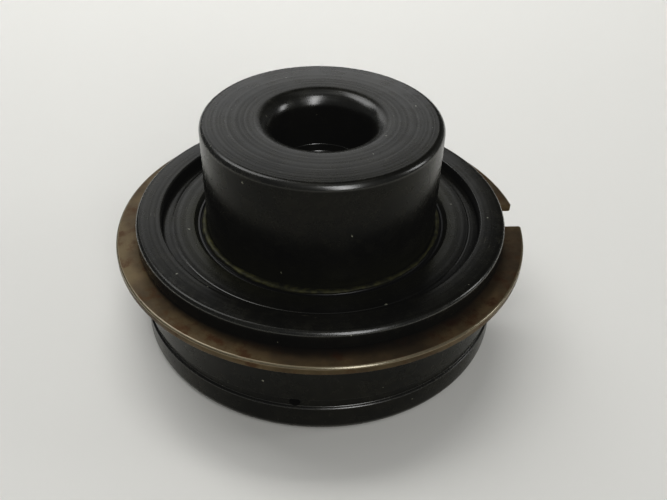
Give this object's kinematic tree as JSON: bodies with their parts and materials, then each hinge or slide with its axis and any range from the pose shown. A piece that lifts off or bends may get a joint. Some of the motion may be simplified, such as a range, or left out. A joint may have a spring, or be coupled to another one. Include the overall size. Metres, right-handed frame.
{
  "type": "cam follower",
  "caption": "Sealed cam follower: an outer ring with a snap ring and an oil groove turns on caged rollers round a hub with a tall, counterbored boss.",
  "frame": {"origin": "on the axis, in the flush bottom faces of the hub and the outer ring", "axes": "+Z along the axis from the base towards the hub's boss; +X near the gap in the snap ring, 3.75 degrees short of its middle"},
  "size_m": [0.0578, 0.0578, 0.032],
  "materials": {
    "black_oxide_steel": "turned, black oxide, oiled",
    "spring_steel": "rolled, tarnished",
    "bearing_steel": "ground",
    "cage_polyamide": "moulded",
    "seal_rubber": "moulded, oily"
  },
  "bodies": {
    "hub": {"hub": "black_oxide_steel"},
    "outer_ring": {"outer_ring": "black_oxide_steel", "snap_ring": "spring_steel", "top_end_plate": "black_oxide_steel", "bottom_end_plate": "black_oxide_steel", "top_seal": "seal_rubber", "bottom_seal": "seal_rubber"},
    "roller_cage": {"roller_cage": "cage_polyamide"},
    "roller_01": {"roller_01": "bearing_steel"},
    "roller_02": {"roller_02": "bearing_steel"},
    "roller_03": {"roller_03": "bearing_steel"},
    "roller_04": {"roller_04": "bearing_steel"},
    "roller_05": {"roller_05": "bearing_steel"},
    "roller_06": {"roller_06": "bearing_steel"},
    "roller_07": {"roller_07": "bearing_steel"},
    "roller_08": {"roller_08": "bearing_steel"},
    "roller_09": {"roller_09": "bearing_steel"},
    "roller_10": {"roller_10": "bearing_steel"},
    "roller_11": {"roller_11": "bearing_steel"},
    "roller_12": {"roller_12": "bearing_steel"},
    "roller_13": {"roller_13": "bearing_steel"},
    "roller_14": {"roller_14": "bearing_steel"},
    "roller_15": {"roller_15": "bearing_steel"},
    "roller_16": {"roller_16": "bearing_steel"},
    "roller_17": {"roller_17": "bearing_steel"},
    "roller_18": {"roller_18": "bearing_steel"}
  },
  "joints": [
    {"name": "outer_ring_spin", "type": "hinge", "parent": "hub", "child": "outer_ring", "pos_m": [0, 0, 0.009], "axis": [0, 0, 1], "continuous": true},
    {"name": "cage_spin", "type": "hinge", "parent": "hub", "child": "roller_cage", "pos_m": [0, 0, 0.009], "axis": [0, 0, 1], "continuous": true},
    {"name": "roller_01_spin", "type": "hinge", "parent": "roller_cage", "child": "roller_01", "pos_m": [0.0194, 0, 0.009], "axis": [0, 0, 1], "continuous": true},
    {"name": "roller_02_spin", "type": "hinge", "parent": "roller_cage", "child": "roller_02", "pos_m": [0.01823, 0.00664, 0.009], "axis": [0, 0, 1], "continuous": true},
    {"name": "roller_03_spin", "type": "hinge", "parent": "roller_cage", "child": "roller_03", "pos_m": [0.01486, 0.01247, 0.009], "axis": [0, 0, 1], "continuous": true},
    {"name": "roller_04_spin", "type": "hinge", "parent": "roller_cage", "child": "roller_04", "pos_m": [0.0097, 0.0168, 0.009], "axis": [0, 0, 1], "continuous": true},
    {"name": "roller_05_spin", "type": "hinge", "parent": "roller_cage", "child": "roller_05", "pos_m": [0.00337, 0.01911, 0.009], "axis": [0, 0, 1], "continuous": true},
    {"name": "roller_06_spin", "type": "hinge", "parent": "roller_cage", "child": "roller_06", "pos_m": [-0.00337, 0.01911, 0.009], "axis": [0, 0, 1], "continuous": true},
    {"name": "roller_07_spin", "type": "hinge", "parent": "roller_cage", "child": "roller_07", "pos_m": [-0.0097, 0.0168, 0.009], "axis": [0, 0, 1], "continuous": true},
    {"name": "roller_08_spin", "type": "hinge", "parent": "roller_cage", "child": "roller_08", "pos_m": [-0.01486, 0.01247, 0.009], "axis": [0, 0, 1], "continuous": true},
    {"name": "roller_09_spin", "type": "hinge", "parent": "roller_cage", "child": "roller_09", "pos_m": [-0.01823, 0.00664, 0.009], "axis": [0, 0, 1], "continuous": true},
    {"name": "roller_10_spin", "type": "hinge", "parent": "roller_cage", "child": "roller_10", "pos_m": [-0.0194, 0, 0.009], "axis": [0, 0, 1], "continuous": true},
    {"name": "roller_11_spin", "type": "hinge", "parent": "roller_cage", "child": "roller_11", "pos_m": [-0.01823, -0.00664, 0.009], "axis": [0, 0, 1], "continuous": true},
    {"name": "roller_12_spin", "type": "hinge", "parent": "roller_cage", "child": "roller_12", "pos_m": [-0.01486, -0.01247, 0.009], "axis": [0, 0, 1], "continuous": true},
    {"name": "roller_13_spin", "type": "hinge", "parent": "roller_cage", "child": "roller_13", "pos_m": [-0.0097, -0.0168, 0.009], "axis": [0, 0, 1], "continuous": true},
    {"name": "roller_14_spin", "type": "hinge", "parent": "roller_cage", "child": "roller_14", "pos_m": [-0.00337, -0.01911, 0.009], "axis": [0, 0, 1], "continuous": true},
    {"name": "roller_15_spin", "type": "hinge", "parent": "roller_cage", "child": "roller_15", "pos_m": [0.00337, -0.01911, 0.009], "axis": [0, 0, 1], "continuous": true},
    {"name": "roller_16_spin", "type": "hinge", "parent": "roller_cage", "child": "roller_16", "pos_m": [0.0097, -0.0168, 0.009], "axis": [0, 0, 1], "continuous": true},
    {"name": "roller_17_spin", "type": "hinge", "parent": "roller_cage", "child": "roller_17", "pos_m": [0.01486, -0.01247, 0.009], "axis": [0, 0, 1], "continuous": true},
    {"name": "roller_18_spin", "type": "hinge", "parent": "roller_cage", "child": "roller_18", "pos_m": [0.01823, -0.00664, 0.009], "axis": [0, 0, 1], "continuous": true}
  ],
  "couplings": [
    {"joint": "cage_spin", "follows": "outer_ring_spin", "ratio": 0.55155},
    {"joint": "roller_01_spin", "follows": "outer_ring_spin", "ratio": 4.7985},
    {"joint": "roller_02_spin", "follows": "outer_ring_spin", "ratio": 4.7985},
    {"joint": "roller_03_spin", "follows": "outer_ring_spin", "ratio": 4.7985},
    {"joint": "roller_04_spin", "follows": "outer_ring_spin", "ratio": 4.7985},
    {"joint": "roller_05_spin", "follows": "outer_ring_spin", "ratio": 4.7985},
    {"joint": "roller_06_spin", "follows": "outer_ring_spin", "ratio": 4.7985},
    {"joint": "roller_07_spin", "follows": "outer_ring_spin", "ratio": 4.7985},
    {"joint": "roller_08_spin", "follows": "outer_ring_spin", "ratio": 4.7985},
    {"joint": "roller_09_spin", "follows": "outer_ring_spin", "ratio": 4.7985},
    {"joint": "roller_10_spin", "follows": "outer_ring_spin", "ratio": 4.7985},
    {"joint": "roller_11_spin", "follows": "outer_ring_spin", "ratio": 4.7985},
    {"joint": "roller_12_spin", "follows": "outer_ring_spin", "ratio": 4.7985},
    {"joint": "roller_13_spin", "follows": "outer_ring_spin", "ratio": 4.7985},
    {"joint": "roller_14_spin", "follows": "outer_ring_spin", "ratio": 4.7985},
    {"joint": "roller_15_spin", "follows": "outer_ring_spin", "ratio": 4.7985},
    {"joint": "roller_16_spin", "follows": "outer_ring_spin", "ratio": 4.7985},
    {"joint": "roller_17_spin", "follows": "outer_ring_spin", "ratio": 4.7985},
    {"joint": "roller_18_spin", "follows": "outer_ring_spin", "ratio": 4.7985}
  ]
}
